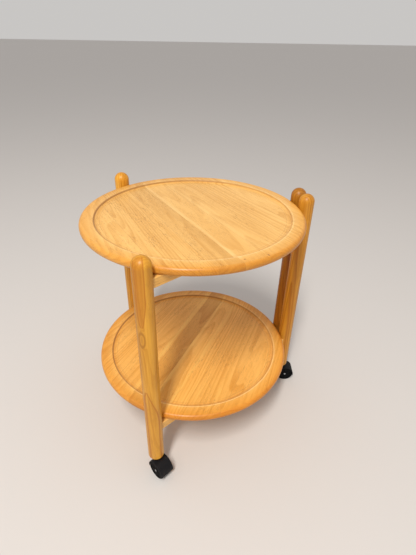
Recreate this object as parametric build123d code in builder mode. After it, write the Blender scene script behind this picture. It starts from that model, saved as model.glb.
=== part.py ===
"""Folding round serving trolley with two lift-off trays.

Two gate frames, each of two round posts and two crossbars, are joined by a pair of butt hinges
at the right-hand side and stand open like a book.  Two equal round trays rest on the crossbars,
held sideways by the four posts.  Every post stands on a swivelling twin-wheel caster.

Units are millimetres.  +Z is up and the floor is Z = 0.  +X points from the trays' axis to the
hinged pair of posts.  The origin is on the floor, under the middle of the object's outer box.
"""

from build123d import *
import math
import os

os.makedirs("parts", exist_ok=True)

# ---------------------------------------------------------------- driving dimensions
TRAY_RADIUS = 280.0
TRAY_THICKNESS = 20.0
TRAY_EDGE_RADIUS = 9.0  # the outer edge is rounded over above and below
RIM_WIDTH = 33.0  # flat top of the rim, out to the tray's edge
RIM_LIP_RADIUS = 3.0  # rounding of the rim's inner edge
COVE_WIDTH = 15.0  # from the rim's inner edge to the flat floor
RECESS_DEPTH = 6.0
COVE_MIDDLE = 0.6  # a point of the cove's arc: share of the way out from its foot
COVE_SAG = 0.2  # and share of the way up
TRAY_REST_GAP = 0.2  # under a tray, above its bars

POST_RADIUS = 20.5
POST_FOOT_ROUNDING = 6.0
POST_RISE = 42.0  # top of the dome above the middle of the top tray
OPEN_ANGLE = 122.0  # of the outer posts about the trays' axis, from +X
PAIR_SPACING = 46.0  # between the axes of the two hinged posts
POST_TRAY_GAP = 0.5

FOOT_HEIGHT = 62.0  # underside of the posts above the floor
TOP_TRAY_MIDDLE = 623.0
TRAY_SPACING = 431.0

BAR_HEIGHT = 24.0
BAR_WIDTH = 20.0
BAR_EDGE_RADIUS = 2.0
BAR_SHOULDER = 15.0  # end of the bar's full section, from the post's axis
TENON_RADIUS = 6.0
TENON_LENGTH = 10.0
GLUE_GAP = 0.05
CUT_MARGIN = 1.0  # a cutting shape reaches this far past what it cuts

TOP_GRAIN_ANGLE = -74.5  # direction of the top tray's boards, from +X
TOP_SEAMS = (-188.0, -88.0, -34.0, 29.0, 120.0, 185.0)  # glue lines, from the tray's axis
LOWER_GRAIN_ANGLE = -129.0
LOWER_SEAMS = (-202.0, -129.0, -53.0, -3.0, 87.0, 179.0)

WHEEL_RADIUS = 25.0
WHEEL_WIDTH = 12.0
WHEEL_EDGE_RADIUS = 2.0
WHEEL_BORE_RADIUS = 3.05
WHEEL_FACE_DISH = (8.0, 20.5, 1.6)  # inner radius, outer radius, depth of the dished face
WHEEL_BACK_DISH = (9.0, 21.0, 6.0)
HUB_CAP_RADIUS = 5.5
HUB_CAP_RECESS = 0.8
WEB_THICKNESS = 13.0
WHEEL_SIDE_GAP = 0.5  # between the hood's web and a wheel
CASTER_TRAIL = 17.0  # from the stem's axis to the axle
HOOD_RADIUS = 27.5
HOOD_ROOM_RADIUS = 26.0
HOOD_SKIRT = 5.0  # lower edge of the hood, below the axle
HOOD_SIDE_LAP = 0.5  # the hood stands this far past the wheels' faces
HOOD_BOSS_RADIUS = 9.5
HOOD_BOSS_BASE = 34.0
HOOD_BOSS_TOP = 57.0
AXLE_BOSS_RADIUS = 9.0
OUTER_TRAIL_ANGLE = 60.0  # casters of the outer posts, from +X
PAIR_TRAIL_ANGLE = 15.0  # casters of the hinged posts, from +X

AXLE_RADIUS = 3.0
AXLE_END_CHAMFER = 0.6
STEM_SHANK_RADIUS = 4.0
STEM_SHANK_BASE = 22.0
STEM_COLLAR_RADIUS = 8.0
STEM_PIN_RADIUS = 5.5
STEM_PIN_LENGTH = 36.0  # above the post's underside
STEM_TIP_CHAMFER = 1.0
STEM_GROOVE_RADIUS = 4.6
RING_OUTER_RADIUS = 6.3
RING_INNER_RADIUS = 4.7
RING_HEIGHT = 2.0
RING_RISE = 28.0  # of the spring ring above the post's underside
RING_OPENING = 50.0  # degrees
SOCKET_FLANGE_RADIUS = 11.0
SOCKET_FLANGE_THICKNESS = 2.0
SOCKET_RADIUS = 7.5
SOCKET_DEPTH = 42.0
SOCKET_BORE_RADIUS = 5.55
SOCKET_BORE_DEPTH = 38.0
SOCKET_GROOVE_RADIUS = 6.6
SOCKET_GROOVE_HEIGHT = 2.6
RUNNING_GAP = 0.1  # between the stem's collar and the socket's flange

HINGE_HEIGHTS = {"upper": 540.0, "lower": 130.0}  # middles of the two hinges
LEAF_HALF_WIDTH = 8.0
LEAF_HEIGHT = 50.0
LEAF_THICKNESS = 1.5
KNUCKLES = 5
KNUCKLE_GAP = 0.15
PIN_INSET = 10.0  # hinge pin, inwards from the line of the two hinged posts
PIN_RADIUS = 2.5
PIN_BORE_RADIUS = 2.53
PIN_HEAD_RADIUS = 3.4
PIN_HEAD_HEIGHT = 1.2
SCREW_RISES = (-17.0, 0.0, 17.0)  # screws of one leaf, from the leaf's middle
SCREW_OFFSET = 1.0  # screws, outwards from the middle of the leaf
SCREW_HEAD_RADIUS = 2.8
SCREW_HEAD_HEIGHT = 1.2
SCREW_RADIUS = 1.45
SCREW_LENGTH = 12.0
SCREW_HOLE_RADIUS = 1.5

# ---------------------------------------------------------------- derived places
LOWER_TRAY_MIDDLE = TOP_TRAY_MIDDLE - TRAY_SPACING
POST_TOP = TOP_TRAY_MIDDLE + POST_RISE
POST_CIRCLE = TRAY_RADIUS + POST_TRAY_GAP + POST_RADIUS
PAIR_ANGLE = math.degrees(math.asin(PAIR_SPACING / 2 / POST_CIRCLE))
PAIR_REACH = POST_CIRCLE * math.cos(math.radians(PAIR_ANGLE))

WHEEL_INNER_FACE = WEB_THICKNESS / 2 + WHEEL_SIDE_GAP
WHEEL_OUTER_FACE = WHEEL_INNER_FACE + WHEEL_WIDTH
HOOD_HALF_WIDTH = WHEEL_OUTER_FACE + HOOD_SIDE_LAP

# The outer box runs from the trays' edge to the casters of the hinged posts.
PAIR_CASTER_REACH = (CASTER_TRAIL + HOOD_RADIUS) * math.cos(
    math.radians(PAIR_TRAIL_ANGLE)
) + HOOD_HALF_WIDTH * math.sin(math.radians(PAIR_TRAIL_ANGLE))
TRAY_X = (TRAY_RADIUS - PAIR_REACH - PAIR_CASTER_REACH) / 2
PAIR_X = TRAY_X + PAIR_REACH


def post_axis(angle):
    """Place on the floor under a post that stands at this angle about the trays' axis."""
    return Vector(TRAY_X, 0, 0) + Vector(POST_CIRCLE, 0, 0).rotate(Axis.Z, angle)


POSTS = {
    "front_left": post_axis(-OPEN_ANGLE),
    "front_right": post_axis(-PAIR_ANGLE),
    "rear_left": post_axis(OPEN_ANGLE),
    "rear_right": post_axis(PAIR_ANGLE),
}
PARTNERS = {
    "front_left": "front_right",
    "front_right": "front_left",
    "rear_left": "rear_right",
    "rear_right": "rear_left",
}
CASTER_ANGLES = {
    "front_left": -OUTER_TRAIL_ANGLE,
    "front_right": -PAIR_TRAIL_ANGLE,
    "rear_left": OUTER_TRAIL_ANGLE,
    "rear_right": PAIR_TRAIL_ANGLE,
}
BAR_MIDDLES = {
    "upper": TOP_TRAY_MIDDLE - TRAY_THICKNESS / 2 - TRAY_REST_GAP - BAR_HEIGHT / 2,
    "lower": LOWER_TRAY_MIDDLE - TRAY_THICKNESS / 2 - TRAY_REST_GAP - BAR_HEIGHT / 2,
}

# The leaves lie on flats that are as wide as the leaves, cut into the facing sides of the posts.
FLAT_DEPTH = POST_RADIUS - math.sqrt(POST_RADIUS**2 - LEAF_HALF_WIDTH**2)
LEAF_BACK = (PAIR_SPACING / 2 - POST_RADIUS) + FLAT_DEPTH  # from the mirror plane Y = 0
LEAF_FACE = LEAF_BACK - LEAF_THICKNESS
KNUCKLE_RADIUS = LEAF_BACK
PIN_X = PAIR_X - PIN_INSET
KNUCKLE_HEIGHT = LEAF_HEIGHT / KNUCKLES


def keep(piece, name):
    """Label a finished piece and write it."""
    piece.part.label = name
    export_step(piece.part, f"parts/{name}.step")


# ---------------------------------------------------------------- trays
def make_tray(tray, middle, grain_angle, seams):
    """One tray as its glued-up boards, each cut from the turned disc between two glue lines."""
    section = Plane(origin=(TRAY_X, 0, middle), x_dir=(1, 0, 0), z_dir=(0, -1, 0))
    boards = Plane(origin=(TRAY_X, 0, middle), z_dir=(0, 0, 1)).rotated((0, 0, grain_angle))
    top = TRAY_THICKNESS / 2
    floor = top - RECESS_DEPTH
    corner = TRAY_RADIUS - TRAY_EDGE_RADIUS
    shoulder = top - TRAY_EDGE_RADIUS
    lip = TRAY_RADIUS - RIM_WIDTH
    wall = (lip - RIM_LIP_RADIUS, top - RIM_LIP_RADIUS)
    foot = (lip - COVE_WIDTH, floor)
    cove = (foot[0] + COVE_MIDDLE * (wall[0] - foot[0]), floor + COVE_SAG * (wall[1] - floor))
    reach = TRAY_RADIUS + CUT_MARGIN
    cuts = (-reach,) + seams + (reach,)
    for number, (near, far) in enumerate(zip(cuts, cuts[1:]), start=1):
        with BuildPart() as board:
            with BuildSketch(section):
                with BuildLine():
                    Line((0, floor), (0, -top))
                    Line((0, -top), (corner, -top))
                    RadiusArc((corner, -top), (TRAY_RADIUS, -shoulder), -TRAY_EDGE_RADIUS)
                    Line((TRAY_RADIUS, -shoulder), (TRAY_RADIUS, shoulder))
                    RadiusArc((TRAY_RADIUS, shoulder), (corner, top), -TRAY_EDGE_RADIUS)
                    Line((corner, top), (lip, top))
                    RadiusArc((lip, top), wall, -RIM_LIP_RADIUS)
                    ThreePointArc(wall, cove, foot)
                    Line(foot, (0, floor))
                make_face()
            revolve(axis=Axis((TRAY_X, 0, 0), (0, 0, 1)))
            with BuildSketch(boards):
                with Locations((0, (near + far) / 2)):
                    Rectangle(2 * reach, far - near)
            extrude(amount=TRAY_THICKNESS, both=True, mode=Mode.INTERSECT)
        keep(board, f"{tray}_board_{number}")


make_tray("top_tray", TOP_TRAY_MIDDLE, TOP_GRAIN_ANGLE, TOP_SEAMS)
make_tray("lower_tray", LOWER_TRAY_MIDDLE, LOWER_GRAIN_ANGLE, LOWER_SEAMS)


# ---------------------------------------------------------------- crossbars and posts
def bar_plane(start, end, height):
    """Upright plane across the line between two posts, at the first post's axis."""
    along = (end - start).normalized()
    return Plane(
        origin=start + Vector(0, 0, height), x_dir=Vector(0, 0, 1).cross(along), z_dir=along
    )


for frame in ("front", "rear"):
    start = POSTS[f"{frame}_left"]
    end = POSTS[f"{frame}_right"]
    length = (end - start).length
    for level, height in BAR_MIDDLES.items():
        across = bar_plane(start, end, height)
        with BuildPart() as bar:
            with BuildSketch(across.offset(BAR_SHOULDER)):
                RectangleRounded(BAR_WIDTH, BAR_HEIGHT, BAR_EDGE_RADIUS)
            extrude(amount=length - 2 * BAR_SHOULDER)
            with BuildSketch(across.offset(BAR_SHOULDER - TENON_LENGTH)):
                Circle(TENON_RADIUS)
            extrude(amount=length - 2 * (BAR_SHOULDER - TENON_LENGTH))
        keep(bar, f"{frame}_{level}_bar")


def screw_planes(hinge_height, side):
    """Planes at one leaf's screw heads, facing into the gap; side is -1 in front, 1 behind."""
    for rise in SCREW_RISES:
        head = (PAIR_X + SCREW_OFFSET, side * LEAF_FACE, hinge_height + rise)
        yield Plane(origin=head, x_dir=(1, 0, 0), z_dir=(0, -side, 0))


for corner, axis_point in POSTS.items():
    partner = POSTS[PARTNERS[corner]]
    upright = Plane(origin=axis_point, x_dir=(1, 0, 0), z_dir=(0, -1, 0))
    shoulder = POST_TOP - POST_RADIUS
    with BuildPart() as post:
        with BuildSketch(upright):
            with BuildLine():
                Line((0, POST_TOP), (0, FOOT_HEIGHT))
                Line((0, FOOT_HEIGHT), (POST_RADIUS - POST_FOOT_ROUNDING, FOOT_HEIGHT))
                RadiusArc(
                    (POST_RADIUS - POST_FOOT_ROUNDING, FOOT_HEIGHT),
                    (POST_RADIUS, FOOT_HEIGHT + POST_FOOT_ROUNDING),
                    -POST_FOOT_ROUNDING,
                )
                Line((POST_RADIUS, FOOT_HEIGHT + POST_FOOT_ROUNDING), (POST_RADIUS, shoulder))
                RadiusArc((POST_RADIUS, shoulder), (0, POST_TOP), -POST_RADIUS)
            make_face()
        revolve(axis=Axis(axis_point, (0, 0, 1)))
        # mortises for the bars' ends and their round tenons
        for height in BAR_MIDDLES.values():
            across = bar_plane(axis_point, partner, height)
            with BuildSketch(across.offset(BAR_SHOULDER)):
                RectangleRounded(
                    BAR_WIDTH + 2 * GLUE_GAP, BAR_HEIGHT + 2 * GLUE_GAP, BAR_EDGE_RADIUS
                )
            extrude(amount=POST_RADIUS, mode=Mode.SUBTRACT)
            with BuildSketch(across.offset(BAR_SHOULDER - TENON_LENGTH - GLUE_GAP)):
                Circle(TENON_RADIUS + GLUE_GAP)
            extrude(amount=POST_RADIUS, mode=Mode.SUBTRACT)
        # bore for the caster's socket
        with BuildSketch(Plane(origin=axis_point).offset(FOOT_HEIGHT)):
            Circle(SOCKET_RADIUS + GLUE_GAP)
        extrude(amount=SOCKET_DEPTH, mode=Mode.SUBTRACT)
        # flats and pilot holes for the hinge leaves
        if corner.endswith("right"):
            side = -1 if corner.startswith("front") else 1
            for height in HINGE_HEIGHTS.values():
                flat = Plane(
                    origin=(PAIR_X, side * LEAF_BACK, height), x_dir=(1, 0, 0), z_dir=(0, -side, 0)
                )
                with BuildSketch(flat):
                    Rectangle(2 * POST_RADIUS, LEAF_HEIGHT + 2 * GLUE_GAP)
                extrude(amount=POST_RADIUS, mode=Mode.SUBTRACT)
                for head in screw_planes(height, side):
                    with BuildSketch(head):
                        Circle(SCREW_HOLE_RADIUS)
                    extrude(amount=-SCREW_LENGTH - CUT_MARGIN, mode=Mode.SUBTRACT)
    keep(post, f"{corner}_post")


# ---------------------------------------------------------------- hinges
SIDES = {"front": -1, "rear": 1}  # side of the mirror plane Y = 0
FIRST_KNUCKLES = {"front": 0, "rear": 1}  # the leaves' knuckles take turns

for level, height in HINGE_HEIGHTS.items():
    base = height - LEAF_HEIGHT / 2
    knuckle_room = 2 * KNUCKLE_RADIUS + CUT_MARGIN
    for frame, side in SIDES.items():
        back = Plane(
            origin=(PAIR_X, side * LEAF_BACK, height), x_dir=(1, 0, 0), z_dir=(0, -side, 0)
        )
        with BuildPart() as leaf:
            with BuildSketch(back):
                with Locations(((LEAF_HALF_WIDTH - PIN_INSET) / 2, 0)):
                    Rectangle(LEAF_HALF_WIDTH + PIN_INSET, LEAF_HEIGHT)
            extrude(amount=LEAF_THICKNESS)
            for number in range(KNUCKLES):
                own = number % 2 == FIRST_KNUCKLES[frame]
                gap = KNUCKLE_GAP if own else -KNUCKLE_GAP
                low = Plane.XY.offset(base + number * KNUCKLE_HEIGHT + gap)
                if own:
                    with BuildSketch(low):
                        with Locations((PIN_X, 0)):
                            Circle(KNUCKLE_RADIUS)
                    extrude(amount=KNUCKLE_HEIGHT - 2 * gap)
                else:
                    with BuildSketch(low):
                        with Locations((PIN_X, 0)):
                            Rectangle(knuckle_room, knuckle_room)
                    extrude(amount=KNUCKLE_HEIGHT - 2 * gap, mode=Mode.SUBTRACT)
            with BuildSketch(Plane.XY.offset(base)):
                with Locations((PIN_X, 0)):
                    Circle(PIN_BORE_RADIUS)
            extrude(amount=LEAF_HEIGHT, mode=Mode.SUBTRACT)
            for head in screw_planes(height, side):
                with Locations(head):
                    CounterSinkHole(
                        SCREW_HOLE_RADIUS, SCREW_HEAD_RADIUS, LEAF_THICKNESS + CUT_MARGIN
                    )
        keep(leaf, f"{frame}_{level}_hinge_leaf")
    with BuildPart() as pin:
        with BuildSketch(Plane.XY.offset(base)):
            with Locations((PIN_X, 0)):
                Circle(PIN_RADIUS)
        extrude(amount=LEAF_HEIGHT)
        for end in (base - PIN_HEAD_HEIGHT, base + LEAF_HEIGHT):
            with BuildSketch(Plane.XY.offset(end)):
                with Locations((PIN_X, 0)):
                    Circle(PIN_HEAD_RADIUS)
            extrude(amount=PIN_HEAD_HEIGHT)
    keep(pin, f"{level}_hinge_pin")

for frame, side in SIDES.items():
    with BuildPart() as screws:
        for height in HINGE_HEIGHTS.values():
            for head in screw_planes(height, side):
                with BuildSketch(Plane(origin=head.origin, x_dir=(1, 0, 0), z_dir=(0, 0, side))):
                    with BuildLine():
                        Polyline(
                            (0, 0),
                            (SCREW_HEAD_RADIUS - GLUE_GAP, 0),
                            (SCREW_RADIUS, SCREW_HEAD_HEIGHT),
                            (SCREW_RADIUS, SCREW_LENGTH - 2 * SCREW_RADIUS),
                            (0, SCREW_LENGTH),
                            close=True,
                        )
                    make_face()
                revolve(axis=Axis(head.origin, (0, side, 0)))
    keep(screws, f"{frame}_hinge_screws")


# ---------------------------------------------------------------- casters
def caster_planes(corner):
    """Floor plane under a caster's stem, and the upright plane of its wheels at the axle."""
    trail = Vector(1, 0, 0).rotate(Axis.Z, CASTER_ANGLES[corner])
    axle = POSTS[corner] + trail * CASTER_TRAIL + Vector(0, 0, WHEEL_RADIUS)
    stem_plane = Plane(origin=POSTS[corner], x_dir=trail, z_dir=(0, 0, 1))
    wheel_plane = Plane(origin=axle, x_dir=trail, z_dir=trail.cross(Vector(0, 0, 1)))
    return stem_plane, wheel_plane


def make_socket(corner, stem_plane):
    """Sleeve that lines the bore in the post's foot; the stem turns in it."""
    ring_height = FOOT_HEIGHT + RING_RISE
    with BuildPart() as socket:
        with BuildSketch(stem_plane.offset(FOOT_HEIGHT - SOCKET_FLANGE_THICKNESS)):
            Circle(SOCKET_FLANGE_RADIUS)
        extrude(amount=SOCKET_FLANGE_THICKNESS)
        with BuildSketch(stem_plane.offset(FOOT_HEIGHT)):
            Circle(SOCKET_RADIUS)
        extrude(amount=SOCKET_DEPTH)
        with BuildSketch(stem_plane.offset(FOOT_HEIGHT - SOCKET_FLANGE_THICKNESS)):
            Circle(SOCKET_BORE_RADIUS)
        extrude(amount=SOCKET_FLANGE_THICKNESS + SOCKET_BORE_DEPTH, mode=Mode.SUBTRACT)
        with BuildSketch(stem_plane.offset(ring_height - SOCKET_GROOVE_HEIGHT / 2)):
            Circle(SOCKET_GROOVE_RADIUS)
        extrude(amount=SOCKET_GROOVE_HEIGHT, mode=Mode.SUBTRACT)
    keep(socket, f"{corner}_caster_socket")


def make_stem(corner, stem_plane):
    """Steel stem: shank pressed in the hood, collar, and pin that turns in the socket."""
    collar_top = FOOT_HEIGHT - SOCKET_FLANGE_THICKNESS - RUNNING_GAP
    ring_height = FOOT_HEIGHT + RING_RISE
    pin_top = FOOT_HEIGHT + STEM_PIN_LENGTH
    with BuildPart() as stem:
        with BuildSketch(stem_plane.offset(STEM_SHANK_BASE)):
            Circle(STEM_SHANK_RADIUS)
        extrude(amount=HOOD_BOSS_TOP - STEM_SHANK_BASE)
        with BuildSketch(stem_plane.offset(HOOD_BOSS_TOP)):
            Circle(STEM_COLLAR_RADIUS)
        extrude(amount=collar_top - HOOD_BOSS_TOP)
        with BuildSketch(stem_plane.offset(collar_top)):
            Circle(STEM_PIN_RADIUS)
        extrude(amount=pin_top - collar_top)
        tip = stem.edges().filter_by(GeomType.CIRCLE).sort_by(Axis.Z)[-1]
        chamfer(tip, length=STEM_TIP_CHAMFER)
        with BuildSketch(stem_plane.offset(ring_height - RING_HEIGHT / 2 - GLUE_GAP)):
            Circle(STEM_PIN_RADIUS + CUT_MARGIN)
            Circle(STEM_GROOVE_RADIUS, mode=Mode.SUBTRACT)
        extrude(amount=RING_HEIGHT + 2 * GLUE_GAP, mode=Mode.SUBTRACT)
    keep(stem, f"{corner}_caster_stem")


def make_grip_ring(corner, stem_plane):
    """Open spring ring in the stem's groove; it springs into the socket's groove."""
    with BuildPart() as ring:
        with BuildSketch(stem_plane.offset(FOOT_HEIGHT + RING_RISE - RING_HEIGHT / 2)):
            Circle(RING_OUTER_RADIUS)
            Circle(RING_INNER_RADIUS, mode=Mode.SUBTRACT)
            reach = 2 * RING_OUTER_RADIUS
            half_gap = reach * math.tan(math.radians(RING_OPENING / 2))
            with BuildLine():
                Polyline((0, 0), (reach, half_gap), (reach, -half_gap), close=True)
            make_face(mode=Mode.SUBTRACT)
        extrude(amount=RING_HEIGHT)
    keep(ring, f"{corner}_caster_grip_ring")


def make_hood(corner, stem_plane, wheel_plane):
    """Moulded body: centre web, an arch over each wheel and the boss round the stem."""
    skirt_angle = math.degrees(math.asin(HOOD_SKIRT / HOOD_RADIUS))
    with BuildPart() as hood:
        with BuildSketch(wheel_plane):
            with BuildLine():
                arch = CenterArc((0, 0), HOOD_RADIUS, -skirt_angle, 180 + 2 * skirt_angle)
                Line(arch @ 1, arch @ 0)
            make_face()
        extrude(amount=HOOD_HALF_WIDTH, both=True)
        with BuildSketch(stem_plane.offset(HOOD_BOSS_BASE)):
            Circle(HOOD_BOSS_RADIUS)
        extrude(amount=HOOD_BOSS_TOP - HOOD_BOSS_BASE)
        # rooms for the wheels
        for side in (-1, 1):
            with BuildSketch(wheel_plane.offset(side * WEB_THICKNESS / 2)):
                Circle(HOOD_ROOM_RADIUS)
            extrude(amount=side * HOOD_HALF_WIDTH, mode=Mode.SUBTRACT)
        # the web runs down round the axle
        with BuildSketch(wheel_plane):
            Circle(AXLE_BOSS_RADIUS)
        extrude(amount=WEB_THICKNESS / 2, both=True)
        with BuildSketch(wheel_plane):
            Circle(AXLE_RADIUS + GLUE_GAP)
        extrude(amount=WEB_THICKNESS, both=True, mode=Mode.SUBTRACT)
        with BuildSketch(stem_plane.offset(STEM_SHANK_BASE)):
            Circle(STEM_SHANK_RADIUS + GLUE_GAP)
        extrude(amount=HOOD_BOSS_TOP - STEM_SHANK_BASE, mode=Mode.SUBTRACT)
    keep(hood, f"{corner}_caster_hood")


def make_axle(corner, wheel_plane):
    """Steel axle, pressed through the web; its domed ends show in the hub caps."""
    with BuildPart() as axle:
        with BuildSketch(wheel_plane):
            Circle(AXLE_RADIUS)
        extrude(amount=WHEEL_OUTER_FACE, both=True)
        ends = axle.edges().filter_by(GeomType.CIRCLE)
        chamfer(ends, length=AXLE_END_CHAMFER)
    keep(axle, f"{corner}_caster_axle")


def make_wheel(name, wheel_plane, side):
    """Solid nylon wheel on one side of the web; side is -1 or 1."""
    inner = wheel_plane.offset(side * WHEEL_INNER_FACE)
    face_in, face_out, face_depth = WHEEL_FACE_DISH
    back_in, back_out, back_depth = WHEEL_BACK_DISH
    with BuildPart() as wheel:
        with BuildSketch(inner):
            Circle(WHEEL_RADIUS)
        extrude(amount=side * WHEEL_WIDTH)
        rims = wheel.edges().filter_by(GeomType.CIRCLE)
        fillet(rims, radius=WHEEL_EDGE_RADIUS)
        with BuildSketch(wheel_plane.offset(side * WHEEL_OUTER_FACE)):
            Circle(face_out)
            Circle(face_in, mode=Mode.SUBTRACT)
        extrude(amount=-side * face_depth, mode=Mode.SUBTRACT)
        with BuildSketch(inner):
            Circle(back_out)
            Circle(back_in, mode=Mode.SUBTRACT)
        extrude(amount=side * back_depth, mode=Mode.SUBTRACT)
        with BuildSketch(inner):
            Circle(WHEEL_BORE_RADIUS)
        extrude(amount=side * WHEEL_WIDTH, mode=Mode.SUBTRACT)
        with BuildSketch(wheel_plane.offset(side * WHEEL_OUTER_FACE)):
            Circle(HUB_CAP_RADIUS)
        extrude(amount=-side * HUB_CAP_RECESS, mode=Mode.SUBTRACT)
    keep(wheel, name)


for corner in POSTS:
    stem_plane, wheel_plane = caster_planes(corner)
    make_socket(corner, stem_plane)
    make_stem(corner, stem_plane)
    make_grip_ring(corner, stem_plane)
    make_hood(corner, stem_plane, wheel_plane)
    make_axle(corner, wheel_plane)
    make_wheel(f"{corner}_caster_near_wheel", wheel_plane, 1)
    make_wheel(f"{corner}_caster_far_wheel", wheel_plane, -1)
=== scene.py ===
"""Looks of the round folding serving trolley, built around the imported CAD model.

Lengths are metres in the CAD model's frame: +Z is up, the floor is Z = 0, and +X points from the
trays' axis to the hinged pair of posts.
"""

import math

import bmesh
import bpy
from mathutils import Euler, Matrix, Vector


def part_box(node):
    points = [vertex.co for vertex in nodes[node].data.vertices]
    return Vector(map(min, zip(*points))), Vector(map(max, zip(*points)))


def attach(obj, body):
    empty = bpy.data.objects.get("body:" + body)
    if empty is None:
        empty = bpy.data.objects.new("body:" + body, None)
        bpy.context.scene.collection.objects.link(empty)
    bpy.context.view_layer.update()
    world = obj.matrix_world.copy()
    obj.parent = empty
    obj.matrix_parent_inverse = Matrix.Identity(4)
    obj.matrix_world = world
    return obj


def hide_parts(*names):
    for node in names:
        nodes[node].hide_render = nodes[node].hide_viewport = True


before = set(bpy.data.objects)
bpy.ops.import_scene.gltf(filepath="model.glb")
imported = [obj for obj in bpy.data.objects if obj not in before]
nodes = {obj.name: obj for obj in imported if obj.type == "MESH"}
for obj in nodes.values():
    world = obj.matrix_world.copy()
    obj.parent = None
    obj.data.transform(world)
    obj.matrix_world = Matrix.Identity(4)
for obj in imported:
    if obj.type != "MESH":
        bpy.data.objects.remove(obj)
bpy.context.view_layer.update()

MM = 0.001
CORNERS = ("front_left", "front_right", "rear_left", "rear_right")
TRAYS = ("top_tray", "lower_tray")
GRAIN_ANGLES = {"top_tray": -74.5, "lower_tray": -129.0}  # direction of the boards, from +X


def middle(*names):
    """Middle of the box round these CAD nodes."""
    boxes = [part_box(name) for name in names]
    low = [min(box[0][axis] for box in boxes) for axis in range(3)]
    high = [max(box[1][axis] for box in boxes) for axis in range(3)]
    return (Vector(low) + Vector(high)) / 2


def board_names(tray):
    return sorted(name for name in nodes if name.startswith(f"{tray}_board_"))


TRAY_AXIS = middle(*board_names("top_tray"))


# ---------------------------------------------------------------- shader helpers
class Shader:
    """Adds nodes to one node tree; inputs are given as sockets or as plain values."""

    def __init__(self, tree):
        self.tree = tree

    def add(self, kind, *sources, **settings):
        node = self.tree.nodes.new("ShaderNode" + kind)
        for key, value in settings.items():
            setattr(node, key, value)
        for socket, source in zip(node.inputs, sources):
            self.feed(socket, source)
        return node

    def feed(self, socket, source):
        if isinstance(source, bpy.types.NodeSocket):
            self.tree.links.new(source, socket)
        elif source is not None:
            socket.default_value = source

    def math(self, operation, first, second=None, clamp=False):
        return self.add("Math", first, second, operation=operation, use_clamp=clamp).outputs[0]

    def vector(self, operation, first, second=None):
        """Vector arithmetic; a length or a dot product gives a number."""
        node = self.add("VectorMath", first, second, operation=operation)
        return node.outputs["Value" if operation in ("LENGTH", "DOT_PRODUCT") else "Vector"]

    def ease(self, value, start, end, low=0.0, high=1.0):
        """Smooth step from low to high as the value goes from start to end."""
        node = self.add(
            "MapRange", value, start, end, low, high, interpolation_type="SMOOTHSTEP"
        )
        return node.outputs[0]

    def stripe(self, value, line, inner, outer, strength):
        """Full strength within inner of the line, falling to 0 at outer."""
        distance = self.math("ABSOLUTE", self.math("SUBTRACT", value, line))
        return self.ease(distance, inner, outer, strength, 0.0)

    def noise(self, vector, per_metre, detail=2.0, roughness=0.5, colour=False):
        """Noise with its own number of waves per metre along each axis."""
        node = self.add("TexNoise", self.vector("MULTIPLY", vector, per_metre))
        node.inputs["Scale"].default_value = 1.0
        node.inputs["Detail"].default_value = detail
        node.inputs["Roughness"].default_value = roughness
        return node.outputs["Color" if colour else 0]

    def mix(self, factor, first, second, blend="MIX"):
        node = self.add("Mix", data_type="RGBA", blend_type=blend)
        self.feed(node.inputs[0], factor)
        self.feed(node.inputs[6], first)
        self.feed(node.inputs[7], second)
        return node.outputs[2]

    def near(self, point, centre, reach):
        """1 at the centre, falling to 0 at the given reach along each axis."""
        offset = self.vector("SUBTRACT", point, centre)
        scaled = self.vector("DIVIDE", offset, reach)
        return self.ease(self.vector("LENGTH", scaled), 0.0, 1.0, 1.0, 0.0)


def new_material(name):
    """Material with a Principled shader; returns it with its Shader helper and that shader node."""
    material = bpy.data.materials.new(name)
    material.use_nodes = True
    principled = material.node_tree.nodes["Principled BSDF"]
    return material, Shader(material.node_tree), principled


def object_point(shader):
    """Point on the piece, in the CAD model's frame at rest."""
    return shader.add("TexCoord").outputs["Object"]


def set_bump(shader, principled, height, distance):
    bump = shader.add("Bump", 1.0, distance)
    shader.feed(bump.inputs["Height"], height)
    shader.feed(principled.inputs["Normal"], bump.outputs[0])


# ---------------------------------------------------------------- wood
# waves per metre of each layer, along the grain and in the two directions across it
WANDER_WAVES = (2.2, 16.0, 16.0)
STREAK_WAVES = (2.4, 95.0, 95.0)
CLOUD_WAVES = (6.0, 26.0, 26.0)
FIBRE_WAVES = (26.0, 900.0, 900.0)
DASH_WAVES = (75.0, 1250.0, 1250.0)
PATCH_WAVES = (9.0, 30.0, 30.0)
WANDER_REACH = (0.0, 0.020, 0.020)
LATE_START, LATE_FULL, LATE_END = 0.25, 0.9, 0.93  # shares of a year's ring
FAINTEST_YEAR = 0.25
PORE_RANGE = (0.56, 0.68)
PATCH_RANGE = (0.35, 0.62)
SPARSE_PORES = 0.25
CLOUD_WEIGHT, FIBRE_WEIGHT = 0.9, 0.4
MEAN_DEPTH = 0.35
PORE_TONE = (0.30, 0.125, 0.03, 1.0)
WOOD_ROUGHNESS, STREAK_ROUGHNESS, PORE_ROUGHNESS = 0.30, 0.16, 0.2
FIBRE_HEIGHT, LATE_DEPTH = 0.35, 0.3
WOOD_BUMP = 0.12 * MM
WOOD_SPECULAR = 0.32
COAT_ROUGHNESS = 0.25


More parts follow.
